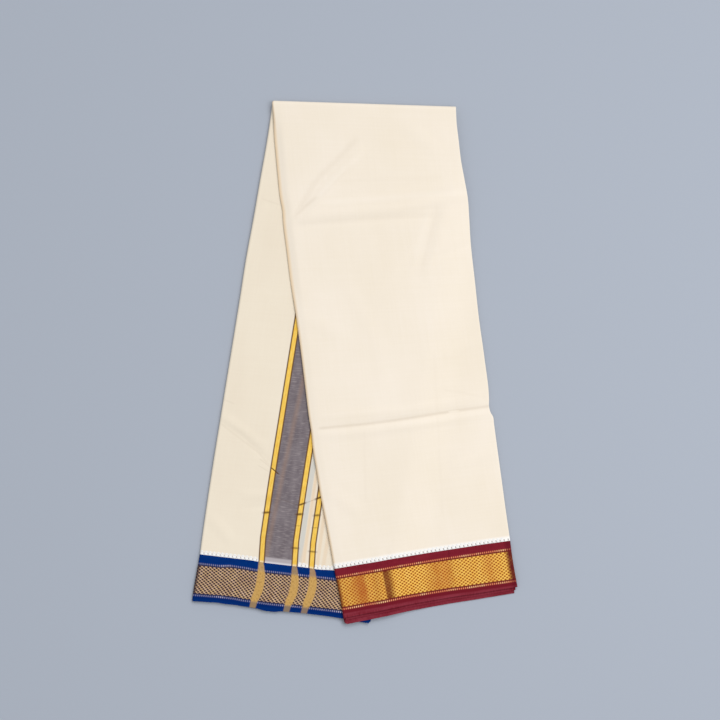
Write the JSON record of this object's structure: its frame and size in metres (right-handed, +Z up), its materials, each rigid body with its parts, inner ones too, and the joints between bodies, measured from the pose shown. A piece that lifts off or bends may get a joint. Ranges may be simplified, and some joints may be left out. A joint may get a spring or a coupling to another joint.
{
  "type": "folded dhoti cloth",
  "caption": "Ivory cotton dhoti folded into a flat strip and doubled over once, with a maroon and a blue gold-woven border and a striped end band.",
  "frame": {"origin": "on the surface that the cloth lies on, under the middle of its box", "axes": "+Y from the two borders up to the top fold, +X to the right seen from above, +Z up out of the surface"},
  "size_m": [0.4055, 0.6497, 0.0114],
  "materials": {
    "ivory_cotton": "plain-woven ivory cotton, matt",
    "maroon_zari_border": "maroon cotton with a gold thread lattice",
    "blue_zari_border": "blue cotton with a gold thread lattice"
  },
  "bodies": {
    "root": {"front_cover": "ivory_cotton", "end_panel": "ivory_cotton", "hidden_layers": "ivory_cotton", "maroon_border": "maroon_zari_border", "maroon_border_layers": "maroon_zari_border", "blue_border": "blue_zari_border", "blue_border_layers": "blue_zari_border"}
  },
  "joints": []
}
